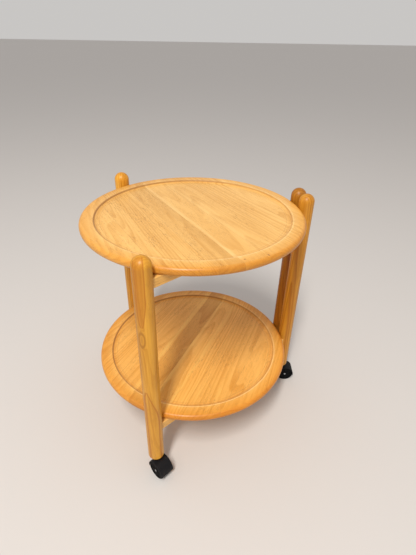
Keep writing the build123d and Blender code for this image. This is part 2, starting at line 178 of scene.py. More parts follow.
def make_wood_group():
    """Hardwood figure from a point whose X runs along the grain and whose X axis is the pith."""
    group = bpy.data.node_groups.new("hardwood_figure", "ShaderNodeTree")
    sockets = (
        ("Point", "NodeSocketVector"),
        ("Pale", "NodeSocketColor"),
        ("Deep", "NodeSocketColor"),
        ("Ring Width", "NodeSocketFloat"),
        ("Taper", "NodeSocketFloat"),
        ("Figure", "NodeSocketFloat"),
        ("Streaks", "NodeSocketFloat"),
        ("Pores", "NodeSocketFloat"),
        ("Knot", "NodeSocketFloat"),
    )
    for name, kind in sockets:
        group.interface.new_socket(name, in_out="INPUT", socket_type=kind)
    group.interface.new_socket("Color", in_out="OUTPUT", socket_type="NodeSocketColor")
    group.interface.new_socket("Roughness", in_out="OUTPUT", socket_type="NodeSocketFloat")
    group.interface.new_socket("Height", in_out="OUTPUT", socket_type="NodeSocketFloat")
    shader = Shader(group)
    given = group.nodes.new("NodeGroupInput").outputs
    result = group.nodes.new("NodeGroupOutput").inputs

    # growth rings about the pith, wandering a little and widening along the tree
    wander = shader.noise(given["Point"], WANDER_WAVES, colour=True)
    wander = shader.vector("SUBTRACT", wander, (0.5, 0.5, 0.5))
    wander = shader.vector("MULTIPLY", wander, WANDER_REACH)
    bent = shader.vector("ADD", given["Point"], wander)
    across = shader.vector("LENGTH", shader.vector("MULTIPLY", bent, (0.0, 1.0, 1.0)))
    along = shader.add("SeparateXYZ", given["Point"]).outputs[0]
    radius = shader.math("ADD", across, shader.math("MULTIPLY", along, given["Taper"]))
    age = shader.math("DIVIDE", radius, given["Ring Width"])
    age = shader.math("ADD", age, given["Knot"])
    season = shader.math("FRACT", age)
    late = shader.math(
        "MULTIPLY",
        shader.ease(season, LATE_START, LATE_FULL),
        shader.ease(season, LATE_END, 1.0, 1.0, 0.0),
    )
    year = shader.add("TexWhiteNoise", noise_dimensions="1D")
    shader.feed(year.inputs["W"], shader.math("FLOOR", age))
    boldness = shader.ease(year.outputs[0], 0.0, 1.0, FAINTEST_YEAR, 1.0)
    late = shader.math("MULTIPLY", late, boldness)

    # streaks, fibres and open pores, all drawn out along the grain
    streak = shader.noise(bent, STREAK_WAVES, detail=4.0, roughness=0.6)
    cloud = shader.noise(given["Point"], CLOUD_WAVES, detail=3.0)
    fibre = shader.noise(bent, FIBRE_WAVES)
    dashes = shader.noise(bent, DASH_WAVES, detail=1.0)
    patches = shader.noise(given["Point"], PATCH_WAVES)
    pores = shader.math(
        "MULTIPLY",
        shader.ease(dashes, *PORE_RANGE),
        shader.ease(patches, *PATCH_RANGE, SPARSE_PORES, 1.0),
    )

    depth = shader.math("MULTIPLY", late, given["Figure"])
    layers = ((streak, given["Streaks"]), (cloud, CLOUD_WEIGHT), (fibre, FIBRE_WEIGHT))
    for layer, weight in layers:
        centred = shader.math("SUBTRACT", layer, 0.5)
        depth = shader.math("ADD", depth, shader.math("MULTIPLY", centred, weight))
    depth = shader.math("ADD", depth, MEAN_DEPTH, clamp=True)
    colour = shader.mix(depth, given["Pale"], given["Deep"])
    pore_depth = shader.math("MULTIPLY", pores, given["Pores"])
    colour = shader.mix(pore_depth, colour, PORE_TONE)
    shader.feed(result["Color"], colour)

    rough = shader.math("MULTIPLY_ADD", streak, STREAK_ROUGHNESS)
    rough.node.inputs[2].default_value = WOOD_ROUGHNESS
    rough = shader.math("ADD", rough, shader.math("MULTIPLY", pores, PORE_ROUGHNESS))
    shader.feed(result["Roughness"], rough)
    height = shader.math("SUBTRACT", shader.math("MULTIPLY", fibre, FIBRE_HEIGHT), pores)
    height = shader.math("SUBTRACT", height, shader.math("MULTIPLY", late, LATE_DEPTH))
    shader.feed(result["Height"], height)
    return group


WOOD_GROUP = make_wood_group()
# pale and deep tone of the figure
TRAY_COLOURS = {
    "top_tray": ((0.86, 0.515, 0.165), (0.66, 0.335, 0.075)),
    "lower_tray": ((0.90, 0.495, 0.125), (0.70, 0.32, 0.055)),
}
# the posts are drawn more orange than the trays: partly their own tone, partly a painted warm
# reflection from the trays
POST_COLOURS = ((0.73, 0.350, 0.036), (0.44, 0.160, 0.006))
BAR_COLOURS = ((0.88, 0.52, 0.15), (0.66, 0.33, 0.065))
GREEN_LOSS = 0.35  # share of the green that a warmth of 1 takes; it takes all of the blue


def shade(colour, value, warmth):
    """The colour made lighter or darker, and moved towards orange by warmth."""
    red, green, blue = colour
    green *= value * (1.0 - GREEN_LOSS * warmth)
    return (red * value, green, blue * value * (1.0 - warmth), 1.0)


def wood_material(
    name, colours, turn, pith, value, warmth, figure, paint=None,
    ring_width=0.0065, taper=0.02, streaks=0.95, pores=0.45, coat=0.12,
):
    """Lacquered wood whose grain lies along X once the point is turned and moved to the pith.

    paint is a function that gets the shader, the point and the wood node, and returns the colour.
    """
    material, shader, principled = new_material(name)
    point = object_point(shader)
    mapping = shader.add("Mapping", point)
    mapping.inputs["Rotation"].default_value = turn
    mapping.inputs["Location"].default_value = -(turn.to_matrix() @ pith)
    wood = shader.add("Group", node_tree=WOOD_GROUP)
    shader.feed(wood.inputs["Point"], mapping.outputs[0])
    wood.inputs["Pale"].default_value = shade(colours[0], value, warmth)
    wood.inputs["Deep"].default_value = shade(colours[1], value, warmth)
    wood.inputs["Figure"].default_value = figure
    wood.inputs["Ring Width"].default_value = ring_width
    wood.inputs["Taper"].default_value = taper
    wood.inputs["Streaks"].default_value = streaks
    wood.inputs["Pores"].default_value = pores
    colour = paint(shader, point, wood) if paint else wood.outputs["Color"]
    shader.feed(principled.inputs["Base Color"], colour)
    shader.feed(principled.inputs["Roughness"], wood.outputs["Roughness"])
    principled.inputs["Specular IOR Level"].default_value = WOOD_SPECULAR
    principled.inputs["Coat Weight"].default_value = coat
    principled.inputs["Coat Roughness"].default_value = COAT_ROUGHNESS
    set_bump(shader, principled, wood.outputs["Height"], WOOD_BUMP)
    return material


def dress(obj, material):
    """Give the piece this material alone."""
    obj.data.materials.clear()
    obj.data.materials.append(material)


# ---------------------------------------------------------------- trays
# value, warmth, ring contrast and pore contrast of each board, in the order of their names
BOARD_TONES = {
    "top_tray": (
        (1.07, 0.00, 0.50, 0.45),
        (1.01, 0.04, 0.65, 0.75),
        (0.96, 0.06, 0.45, 0.75),
        (1.03, 0.02, 0.32, 0.45),
        (1.01, 0.04, 0.50, 0.45),
        (1.06, 0.00, 0.60, 0.40),
        (1.08, -0.05, 0.50, 0.35),
    ),
    "lower_tray": (
        (1.01, 0.02, 0.50, 0.45),
        (1.03, 0.02, 0.60, 0.50),
        (1.01, 0.02, 0.50, 0.55),
        (0.86, 0.14, 0.50, 0.60),
        (1.05, 0.02, 0.65, 0.50),
        (1.00, 0.06, 0.55, 0.50),
        (1.05, 0.02, 0.50, 0.45),
    ),
}
# radians that move the pith's side, its depth and the taper on from board to board
SIDE_STEP, DEPTH_STEP, TAPER_STEP = 2.4, 1.7, 3.1
PITH_SIDE, PITH_DEPTH, PITH_DEPTH_CHANGE = 0.05, 0.07, 0.03
RING_WIDTH, RING_WIDTH_CHANGE, TAPER_CHANGE = 0.0065, 0.002, 0.045
# soft bands beside a glue line: distance of the middle from the tray's axis and half width in
# millimetres, tint and strength
BOARD_BANDS = {
    "top_tray_board_3": ((-44.0, 18.0, (0.58, 0.30, 0.07, 1.0), 0.40),),
    "top_tray_board_4": ((-29.0, 9.0, (0.93, 0.62, 0.26, 1.0), 0.50),),
    "top_tray_board_5": ((38.0, 9.0, (0.92, 0.60, 0.22, 1.0), 0.35),),
    "lower_tray_board_3": ((-62.0, 9.0, (0.93, 0.60, 0.16, 1.0), 0.45),),
    "lower_tray_board_5": (
        (3.0, 8.0, (0.95, 0.62, 0.18, 1.0), 0.45),
        (48.0, 7.0, (0.93, 0.60, 0.16, 1.0), 0.45),
    ),
}
RIM_INNER_EDGE = 247.0 * MM
COVE_FOOT = 232.0 * MM
# dark tone of the glue lines and the nicks, and of the painted shade on the recess's wall
GRIME_AND_SHADE = (0.36, 0.16, 0.045, 1.0)
LINE_WAVES = (35.0, 35.0, 35.0)
FAINTEST_LINE = 0.4
# half width and strength of each dark line: the glue lines are dark joints, the line at the wall's
# middle is painted shade along the recess wall, and the one at the cove's foot is a darker line
GLUE_LINE = (0.45 * MM, 0.6)
WALL_LINE = (1.1 * MM, 0.6)
FOOT_LINE = (1.0 * MM, 0.45)
BAND_WAVES = (7.0, 60.0, 60.0)
BAND_UNEVENNESS = 14.0 * MM
FAINTEST_BAND, BAND_ON_RIM = 0.35, 0.35
WALL_SIDE = (-0.62, 0.78, 0.0)  # towards the part of the recess's wall that gets painted shade
WALL_FADE = 0.16
WALL_SHADE = (1.2 * MM, 2.8 * MM, 0.62)  # inner and outer reach, and strength of the painted shade on the wall
WALL_MIDDLE = 245.0 * MM
# painted highlight along the recess's lip: its radius, tone, half width and strength on each tray
LIP_HIGHLIGHT_RADIUS = 248.6 * MM
LIP_HIGHLIGHT_TONE = (1.0, 0.78, 0.42, 1.0)
LIP_HIGHLIGHT_HALF_WIDTH = 1.6 * MM
LIP_HIGHLIGHT_STRENGTH = {"top_tray": 0.36, "lower_tray": 0.50}
COVE_TINT = (0.86, 0.74, 0.50, 1.0)
COVE_STRENGTH = 0.4
RIM_TINT = (0.93, 0.83, 0.62, 1.0)  # the rim and the end grain round the edge took more finish
# painted shade on the tray's rounded edge and side, weaker on the far left, which stays paler as a
# painted highlight
EDGE_SHADE_TINT = (0.83, 0.66, 0.32, 1.0)
EDGE_HIGHLIGHT_SIDE = (-1.0, 0.0, 0.0)
EDGE_HIGHLIGHT_RANGE = (0.10, 0.26)
EDGE_SHADE_ON_HIGHLIGHT_SIDE = 0.35
EDGE_START = 268.0 * MM
EDGE_END = 279.0 * MM
# place on the front rim and half sizes, in millimetres
NICKS = ((11.0, -258.0, 4.4, 3.6), (65.0, -252.0, 3.0, 7.5))
NICK_RISE = 10.0 * MM  # above the tray's middle
NICK_HALF_HEIGHT = 12.0 * MM
NICK_STRENGTH = 0.9


def paint_bands(shader, wood, reach, rim, bands, colour):
    """Soft bands along the board, fainter on the rim."""
    stretched = shader.noise(wood.inputs["Point"].links[0].from_socket, BAND_WAVES)
    sway = shader.math("MULTIPLY", shader.math("SUBTRACT", stretched, 0.5), BAND_UNEVENNESS)
    place = shader.math("ADD", reach, sway)
    patchy = shader.ease(stretched, 0.3, 0.6, FAINTEST_BAND, 1.0)
    inside = shader.ease(rim, 0.0, 1.0, 1.0, BAND_ON_RIM)
    for line, half_width, tint, strength in bands:
        band = shader.stripe(place, line * MM, 0.1 * half_width * MM, half_width * MM, strength)
        band = shader.math("MULTIPLY", band, patchy)
        colour = shader.mix(shader.math("MULTIPLY", band, inside), colour, tint)
    return colour


def paint_rim(shader, offset, radius, rim, colour):
    """Deeper finish on the rim and round the edge; painted shade round the edge too, less of it on
    the edge's far left, which stays paler as a painted highlight.
    """
    colour = shader.mix(rim, colour, RIM_TINT, blend="MULTIPLY")
    highlight_side = shader.vector("DOT_PRODUCT", offset, EDGE_HIGHLIGHT_SIDE)
    edge = shader.math(
        "MULTIPLY",
        shader.ease(radius, EDGE_START, EDGE_END),
        shader.ease(highlight_side, *EDGE_HIGHLIGHT_RANGE, 1.0, EDGE_SHADE_ON_HIGHLIGHT_SIDE),
    )
    return shader.mix(edge, colour, EDGE_SHADE_TINT, blend="MULTIPLY")


def paint_recess(shader, offset, radius, lip_highlight, colour):
    """Painted shade on the recess's wall at the far left, a painted highlight on its lip at the
    near right, and a darker tint in the cove.
    """
    shaded_side = shader.ease(shader.vector("DOT_PRODUCT", offset, WALL_SIDE), -WALL_FADE, WALL_FADE)
    highlit = shader.ease(shaded_side, 0.0, 1.0, lip_highlight, 0.0)
    cove = shader.math(
        "MULTIPLY",
        shader.ease(radius, COVE_FOOT, 0.5 * (COVE_FOOT + WALL_MIDDLE), 0.0, COVE_STRENGTH),
        shader.ease(radius, WALL_MIDDLE, LIP_HIGHLIGHT_RADIUS, 1.0, 0.0),
    )
    colour = shader.mix(cove, colour, COVE_TINT, blend="MULTIPLY")
    # painted highlight on the lip, strongest on the side away from the painted shade
    lip = shader.stripe(radius, LIP_HIGHLIGHT_RADIUS, 0.0, LIP_HIGHLIGHT_HALF_WIDTH, 1.0)
    colour = shader.mix(shader.math("MULTIPLY", lip, highlit), colour, LIP_HIGHLIGHT_TONE)
    # painted shade on the recess's wall at the far left
    wall = shader.stripe(radius, WALL_MIDDLE, *WALL_SHADE)
    return shader.mix(shader.math("MULTIPLY", wall, shaded_side), colour, GRIME_AND_SHADE)


def paint_lines(shader, point, lines, colour):
    """Uneven dark lines; each has its coordinate, place, half width and strength."""
    uneven = shader.noise(point, LINE_WAVES, detail=3.0)
    patchy = shader.ease(uneven, 0.3, 0.7, FAINTEST_LINE, 1.0)
    for coordinate, line, (half_width, strength) in lines:
        mark = shader.stripe(coordinate, line, 0.25 * half_width, half_width, strength)
        colour = shader.mix(shader.math("MULTIPLY", mark, patchy), colour, GRIME_AND_SHADE)
    return colour


def paint_nicks(shader, point, height, colour):
    """Dark nicks in the front rim."""
    for x, y, half_length, half_width in NICKS:
        place = (x * MM, y * MM, height)
        size = (half_length * MM, half_width * MM, NICK_HALF_HEIGHT)
        nick = shader.ease(shader.near(point, place, size), 0.3, 0.7, 0.0, NICK_STRENGTH)
        colour = shader.mix(nick, colour, GRIME_AND_SHADE)
    return colour


def dress_board(tray, number, name, centre):
    """Wood of one board, with the marks of the whole tray where they cross it."""
    angle = math.radians(GRAIN_ANGLES[tray])
    across = Vector((-math.sin(angle), math.cos(angle), 0.0))
    reaches = [across.dot(vertex.co - centre) for vertex in nodes[name].data.vertices]
    edges = (min(reaches), max(reaches))
    swing = math.sin(SIDE_STEP * number)
    pith = centre + across * (sum(edges) / 2 + PITH_SIDE * swing)
    pith.z -= PITH_DEPTH + PITH_DEPTH_CHANGE * math.cos(DEPTH_STEP * number)

    def paint(shader, point, wood):
        flat = shader.vector("MULTIPLY", point, (1.0, 1.0, 0.0))
        offset = shader.vector("SUBTRACT", flat, (centre.x, centre.y, 0.0))
        radius = shader.vector("LENGTH", offset)
        reach = shader.vector("DOT_PRODUCT", offset, tuple(across))
        rim = shader.ease(radius, RIM_INNER_EDGE, EDGE_START)
        colour = wood.outputs["Color"]
        colour = paint_bands(shader, wood, reach, rim, BOARD_BANDS.get(name, ()), colour)
        colour = paint_rim(shader, offset, radius, rim, colour)
        colour = paint_recess(shader, offset, radius, LIP_HIGHLIGHT_STRENGTH[tray], colour)
        # dark glue lines, painted shade along the recess wall, and a darker line at the cove's foot
        lines = [(reach, edge, GLUE_LINE) for edge in edges]
        lines += [(radius, WALL_MIDDLE, WALL_LINE), (radius, COVE_FOOT, FOOT_LINE)]
        colour = paint_lines(shader, point, lines, colour)
        if tray == "top_tray":
            colour = paint_nicks(shader, point, centre.z + NICK_RISE, colour)
        return colour

    value, warmth, figure, pores = BOARD_TONES[tray][number - 1]
    material = wood_material(
        f"{name}_wood", TRAY_COLOURS[tray], Euler((0.0, 0.0, -angle)), pith,
        value, warmth, figure, paint, pores=pores,
        ring_width=RING_WIDTH + RING_WIDTH_CHANGE * swing,
        taper=TAPER_CHANGE * math.cos(TAPER_STEP * number),
    )
    dress(nodes[name], material)


for tray in TRAYS:
    for number, name in enumerate(board_names(tray), start=1):
        dress_board(tray, number, name, middle(*board_names(tray)))


# ---------------------------------------------------------------- posts and bars
UPRIGHT_TURN = Euler((0.0, math.radians(90.0), 0.0))
# value, warmth and ring contrast of each post
POST_TONES = {
    "front_left": (1.02, -0.06, 0.30),
    "front_right": (0.97, 0.10, 0.60),
    "rear_left": (1.20, -0.10, 0.60),
    # the rear right post is drawn darker and warmer than the others: its own tone with painted
    # shade added, for the gap beside its partner in the hinged pair
    "rear_right": (0.68, 0.35, 0.60),
}
POST_PITH_OFFSET = 0.034
FIRST_BEARING, BEARING_STEP = 2.0, 1.9  # radians, of the pith from post to post
BAR_PITH_OFFSET = Vector((0.0, 0.02, -0.045))
KNOT_OFFSET = Vector((-0.0122, -0.0167, 0.112))  # from the post's middle
KNOT_SIZE = (0.0068, 0.0068, 0.0185)
KNOT_TONE = (0.40, 0.155, 0.012, 1.0)
KNOT_OUTLINE_STRENGTH, KNOT_HEART_STRENGTH = 0.85, 0.45
FLOW_SIZE = (0.014, 0.014, 0.034)
FLOW_YEARS = 3.0
# pointed rings above and below the knot, in millimetres: place and height of the point from the
# post's middle, drift, half width, length and roundness of the point, and how deep its heart shows
POST_POINTS = (
    (-8.7, 143.0, 2.2, 8.5, 75.0, 0.28, 0.50),
    (-12.0, -43.0, 10.8, 13.8, -100.0, 0.45, 0.0),
)
POINT_BEARING = math.radians(-94.0)
POINT_TONE = (0.46, 0.150, 0.008, 1.0)
POINT_WAVES = (40.0, 40.0, 14.0)
POINT_UNEVENNESS = 4.0 * MM
POINT_FADE = 7.0 * MM
POINT_LINE = (0.3 * MM, 2.6 * MM, 0.85)  # inner and outer reach, and strength
POINT_HEART_REACH = 3.0 * MM


def paint_points(shader, point, axis, colour):
    """Pointed late rings on the outer face of a post."""
    facing = Vector((math.cos(POINT_BEARING), math.sin(POINT_BEARING), 0.0))
    rightward = Vector((-facing.y, facing.x, 0.0))
    offset = shader.vector("SUBTRACT", point, tuple(axis))
    out = shader.vector("DOT_PRODUCT", offset, tuple(facing))
    right = shader.vector("DOT_PRODUCT", offset, tuple(rightward))
    up = shader.vector("DOT_PRODUCT", offset, (0.0, 0.0, 1.0))
    sway = shader.math("SUBTRACT", shader.noise(point, POINT_WAVES), 0.5)
    place = shader.math("ADD", right, shader.math("MULTIPLY", sway, POINT_UNEVENNESS))
    outer_face = shader.ease(out, 0.0, POINT_FADE)
    for side, height, drift, half_width, length, roundness, heart in POST_POINTS:
        along = shader.math("SUBTRACT", up, height * MM)
        along = shader.ease(shader.math("DIVIDE", along, length * MM), 0.0, 1.0)
        centre = shader.math("ADD", shader.math("MULTIPLY", along, drift * MM), side * MM)
        reach = shader.math("ABSOLUTE", shader.math("SUBTRACT", place, centre))
        edge = shader.math("MULTIPLY", shader.math("POWER", along, roundness), half_width * MM)
        past = shader.math("SUBTRACT", reach, edge)
        begun = shader.math("MULTIPLY", shader.ease(along, 0.0, 0.004), outer_face)
        line = shader.stripe(past, 0.0, *POINT_LINE)
        inner = shader.ease(past, -POINT_HEART_REACH, 0.0, heart, 0.0)
        depth = shader.math("MULTIPLY", shader.math("MAXIMUM", line, inner), begun)
        colour = shader.mix(depth, colour, POINT_TONE)
    return colour


def paint_knot(shader, point, axis, wood, colour):
    """A pin knot with a dark outline that the rings flow round."""
    centre = tuple(axis + KNOT_OFFSET)
    flow = shader.near(point, centre, FLOW_SIZE)
    shader.feed(wood.inputs["Knot"], shader.math("MULTIPLY", flow, FLOW_YEARS))
    away = shader.vector("DIVIDE", shader.vector("SUBTRACT", point, centre), KNOT_SIZE)
    distance = shader.vector("LENGTH", away)
    outline = shader.stripe(distance, 1.0, 0.05, 0.40, KNOT_OUTLINE_STRENGTH)
    colour = shader.mix(outline, colour, KNOT_TONE)
    heart = shader.ease(distance, 0.0, 0.9, KNOT_HEART_STRENGTH, 0.0)
    return shader.mix(heart, colour, KNOT_TONE)


def dress_posts():
    for number, corner in enumerate(CORNERS):
        value, warmth, figure = POST_TONES[corner]
        axis = middle(f"{corner}_post")
        bearing = FIRST_BEARING + BEARING_STEP * number
        pith = axis + POST_PITH_OFFSET * Vector((math.cos(bearing), math.sin(bearing), 0.0))

        def paint(shader, point, wood, axis=axis):
            colour = paint_points(shader, point, axis, wood.outputs["Color"])
            return paint_knot(shader, point, axis, wood, colour)

        material = wood_material(
            f"{corner}_post_wood", POST_COLOURS, UPRIGHT_TURN, pith, value, warmth, figure,
            paint if corner == "front_left" else None,
            ring_width=0.0052, taper=0.035, streaks=1.5, pores=0.35, coat=0.06,
        )
        dress(nodes[f"{corner}_post"], material)


def dress_bars():
    for side in ("front", "rear"):
        direction = middle(f"{side}_right_post") - middle(f"{side}_left_post")
        turn = Euler((0.0, 0.0, -math.atan2(direction.y, direction.x)))
        for level in ("upper", "lower"):
            name = f"{side}_{level}_bar"
            material = wood_material(
                f"{name}_wood", BAR_COLOURS, turn, middle(name) + BAR_PITH_OFFSET,
                value=1.0, warmth=0.05, figure=0.4,
            )
            dress(nodes[name], material)


dress_posts()
dress_bars()


# ---------------------------------------------------------------- plastics and metals
DUST_WAVES = (90.0, 90.0, 90.0)
GRAIN_WAVES = (2600.0, 2600.0, 2600.0)
TARNISH_WAVES = (140.0, 140.0, 140.0)
BRUSH_WAVES = (300.0, 300.0, 5000.0)
NYLON_ROUGHNESS_CHANGE, METAL_ROUGHNESS_CHANGE = 0.2, 0.18
NYLON_BUMP, METAL_BUMP = 0.05 * MM, 0.02 * MM
TARNISH_SHARE = 0.35  # of the clean colour


def plastic_material(name, colour, roughness, scuffs, gloss):
    """Moulded nylon: fine spark-eroded texture, dust and scuffs."""
    material, shader, principled = new_material(name)
    point = object_point(shader)
    cloud = shader.noise(point, DUST_WAVES, detail=4.0)
    grain = shader.noise(point, GRAIN_WAVES)
    dust = shader.ease(cloud, 0.48, 0.75, 0.0, scuffs)
    pale = tuple(min(1.0, 4.0 * channel + 0.015) for channel in colour[:3]) + (1.0,)
    shader.feed(principled.inputs["Base Color"], shader.mix(dust, colour, pale))
    rough = shader.ease(cloud, 0.2, 0.8, roughness, roughness + NYLON_ROUGHNESS_CHANGE)
    shader.feed(principled.inputs["Roughness"], rough)
    principled.inputs["Specular IOR Level"].default_value = gloss
    set_bump(shader, principled, grain, NYLON_BUMP)
    return material


def metal_material(name, colour, roughness, tarnish):
    """Plated metal with fine brushing and a little tarnish."""
    material, shader, principled = new_material(name)
    point = object_point(shader)
    cloud = shader.noise(point, TARNISH_WAVES, detail=4.0)
    brush = shader.noise(point, BRUSH_WAVES)
    stain = shader.ease(cloud, 0.45, 0.8, 0.0, tarnish)
    dark = tuple(TARNISH_SHARE * channel for channel in colour[:3]) + (1.0,)
    shader.feed(principled.inputs["Base Color"], shader.mix(stain, colour, dark))
    rough = shader.ease(brush, 0.2, 0.8, roughness, roughness + METAL_ROUGHNESS_CHANGE)
    shader.feed(principled.inputs["Roughness"], rough)
    principled.inputs["Metallic"].default_value = 1.0
    set_bump(shader, principled, brush, METAL_BUMP)
    return material


HOOD_NYLON = plastic_material("hood_nylon", (0.0095, 0.009, 0.0105, 1.0), 0.42, 0.10, 0.16)
WHEEL_NYLON = plastic_material("wheel_nylon", (0.003, 0.003, 0.0035, 1.0), 0.50, 0.05, 0.08)
STEEL = metal_material("plated_steel", (0.50, 0.50, 0.51, 1.0), 0.28, 0.6)
BRASS = metal_material("brass_plate", (0.72, 0.50, 0.20, 1.0), 0.26, 0.6)

for name, node in nodes.items():
    if name.endswith(("_socket", "_stem", "_grip_ring", "_axle")):
        dress(node, STEEL)
    elif "hinge" in name:
        dress(node, BRASS)


# ---------------------------------------------------------------- mesh helpers
ROUND_STEPS = 96
WELD_DISTANCE = 1e-7
SMOOTH_ANGLE, HOOD_SMOOTH_ANGLE = 35.0, 32.0  # degrees


def finish_mesh(mesh, smooth_angle):
    """Smooth shading, with edges sharper than the angle left sharp."""
    mesh.shade_smooth()
    mesh.set_sharp_from_angle(angle=math.radians(smooth_angle))


def solid_object(name, builder, material):
    """Object made from a bmesh."""
    bmesh.ops.remove_doubles(builder, verts=builder.verts, dist=WELD_DISTANCE)
    bmesh.ops.recalc_face_normals(builder, faces=builder.faces)
    mesh = bpy.data.meshes.new(name)
    builder.to_mesh(mesh)
    builder.free()
    finish_mesh(mesh, SMOOTH_ANGLE)
    obj = bpy.data.objects.new(name, mesh)
    bpy.context.scene.collection.objects.link(obj)
    mesh.materials.append(material)
    return obj


def loft(builder, rings, closed):
    """Faces between closed loops of points; closed joins the last loop to the first."""
    rows = [[builder.verts.new(point) for point in ring] for ring in rings]
    pairs = list(zip(rows, rows[1:]))
    if closed:
        pairs.append((rows[-1], rows[0]))
    for first, second in pairs:
        for index in range(len(first)):
            after = (index + 1) % len(first)
            builder.faces.new((first[index], first[after], second[after], second[index]))
    if not closed:
        builder.faces.new(rows[0])
        builder.faces.new(rows[-1])


def ring_points(radius, y, lift=None):
    """Points of a circle about the Y axis; lift gives each point its own Y."""
    points = []
    for step in range(ROUND_STEPS):
        angle = 2.0 * math.pi * step / ROUND_STEPS
        depth = lift(radius, angle) if lift else y
        points.append(Vector((radius * math.cos(angle), depth, radius * math.sin(angle))))
    return points


def join_solids(target, tool, operation):
    """Boolean of two objects, kept in the first; the second goes."""
    modifier = target.modifiers.new("join", "BOOLEAN")
    modifier.object = tool
    modifier.operation = operation
    modifier.solver = "EXACT"
    depsgraph = bpy.context.evaluated_depsgraph_get()
    mesh = bpy.data.meshes.new_from_object(target.evaluated_get(depsgraph))
    target.modifiers.clear()
    target.data = mesh
    bpy.data.objects.remove(tool)


# ---------------------------------------------------------------- casters
WHEEL_RADIUS = 25.0 * MM
WHEEL_HALF_WIDTH = 6.0 * MM
AXLE_BORE_RADIUS = 3.05 * MM
TREAD_CROWN = 0.15 * MM
SHOULDER_RADIUS = 1.8 * MM
SHOULDER_STEPS = 6
# radius and depth from the back face, in millimetres
BACK_PROFILE = ((9.0, 0.0), (9.0, 6.0), (21.0, 6.0), (21.0, 0.0))
FACE_RADII = (21.0, 20.6, 20.2, 19.8, 17.0, 14.0, 11.0, 9.2, 8.8, 8.4, 8.0)  # millimetres
DISH_INNER, DISH_OUTER = (8.0 * MM, 9.2 * MM), (19.8 * MM, 21.0 * MM)
DISH_DEPTH = 1.5 * MM
SPOKES = 8
SPOKE_HEIGHT = 0.9 * MM
SPOKE_HALF_WIDTH = 1.1 * MM
SPOKE_FLARE = 1.9
CAP_RIM, CAP_FLOOR, CAP_RECESS = 5.6 * MM, 5.4 * MM, 0.8 * MM
HOOD_RADIUS = 27.5 * MM
HOOD_ROOM_RADIUS = 26.0 * MM
HOOD_HALF_WIDTH = 19.5 * MM
HOOD_SKIRT_ANGLE = math.asin(5.0 / 27.5)
WEB_HALF_THICKNESS = 6.5 * MM
AXLE_BOSS_RADIUS = 9.0 * MM
HOOD_STEPS = 64
WEB_OVERLAP = 0.4 * MM  # into the arch
WEB_STEPS, AXLE_BOSS_STEPS = 48, 16
STEM_BOSS_RADIUS = 9.5 * MM
STEM_BOSS_LOW, STEM_BOSS_HIGH = 9.0 * MM, 32.0 * MM  # above the axle
CASTER_TRAIL = 17.0 * MM
RIBS = 11
RIB_HEIGHT = 0.45 * MM
RIB_FLANK = 0.3 * MM
RIB_MARGIN = 1.2 * MM
GROOVE_SHARE = 0.42  # of the ribs' pitch
CORNER_WIDTH, CORNER_DROP = 0.4 * MM, 0.5 * MM


def caster_place(corner):
    """Matrix at the axle: X points from the stem to the axle, Y along the axle and Z up."""
    axle = middle(f"{corner}_caster_axle")
    stem = middle(f"{corner}_caster_stem")
    trail = Vector((axle.x - stem.x, axle.y - stem.y, 0.0)).normalized()
    up = Vector((0.0, 0.0, 1.0))
    turn = Matrix((trail, up.cross(trail), up)).transposed().to_4x4()
    return Matrix.Translation(axle) @ turn


def smooth(value, low, high):
    share = min(1.0, max(0.0, (value - low) / (high - low)))
    return share * share * (3.0 - 2.0 * share)


def face_depth(radius, angle):
    """Outer face of a wheel: a flat rim, a dish crossed by spokes, and the hub."""
    dish = smooth(radius, *DISH_INNER) * (1.0 - smooth(radius, *DISH_OUTER))
    wave = abs(math.cos(0.5 * SPOKES * angle))
    spoke_half = SPOKE_HALF_WIDTH / max(radius, MM) * 0.5 * SPOKES
    spoke = smooth(wave, math.cos(spoke_half * SPOKE_FLARE), math.cos(spoke_half))
    return WHEEL_HALF_WIDTH - dish * (DISH_DEPTH - SPOKE_HEIGHT * spoke)


def shoulder(side):
    """Rings of a wheel's rounded shoulder, towards +Y; side is -1 for the back, 1 for the face."""
    rings = []
    for step in range(SHOULDER_STEPS + 1):
        angle = math.radians(90.0 * step / SHOULDER_STEPS)
        rise, drop = math.sin(angle), math.cos(angle)
        if side > 0:
            rise, drop = drop, rise
        radius = WHEEL_RADIUS - TREAD_CROWN - SHOULDER_RADIUS * (1.0 - rise)
        depth = WHEEL_HALF_WIDTH - SHOULDER_RADIUS * (1.0 - drop)
        rings.append(ring_points(radius, side * depth))
    return rings


def make_wheel(name, place, outward):
    """Nylon wheel with a crowned tread, a spoked dish and a hub; outward is -1 or 1 along Y."""
    half = WHEEL_HALF_WIDTH
    rings = [
        ring_points(AXLE_BORE_RADIUS, half - CAP_RECESS),
        ring_points(AXLE_BORE_RADIUS, -half),
    ]
    rings += [ring_points(radius * MM, -half + depth * MM) for radius, depth in BACK_PROFILE]
    rings += shoulder(-1.0)
    rings.append(ring_points(WHEEL_RADIUS, 0.0))
    rings += shoulder(1.0)
    rings += [ring_points(radius * MM, half, face_depth) for radius in FACE_RADII]
    rings += [ring_points(CAP_RIM, half), ring_points(CAP_FLOOR, half - CAP_RECESS)]
    builder = bmesh.new()
    loft(builder, rings, closed=True)
    if outward < 0:
        bmesh.ops.transform(builder, matrix=Matrix.Scale(-1.0, 4, (0, 1, 0)), verts=builder.verts)
    bmesh.ops.transform(builder, matrix=place, verts=builder.verts)
    return solid_object(name, builder, WHEEL_NYLON)


def cylinder_object(name, radius, start, end):
    """Round bar along Y."""
    builder = bmesh.new()
    loft(builder, [ring_points(radius, y) for y in (start, end)], closed=False)
    return solid_object(name, builder, HOOD_NYLON)


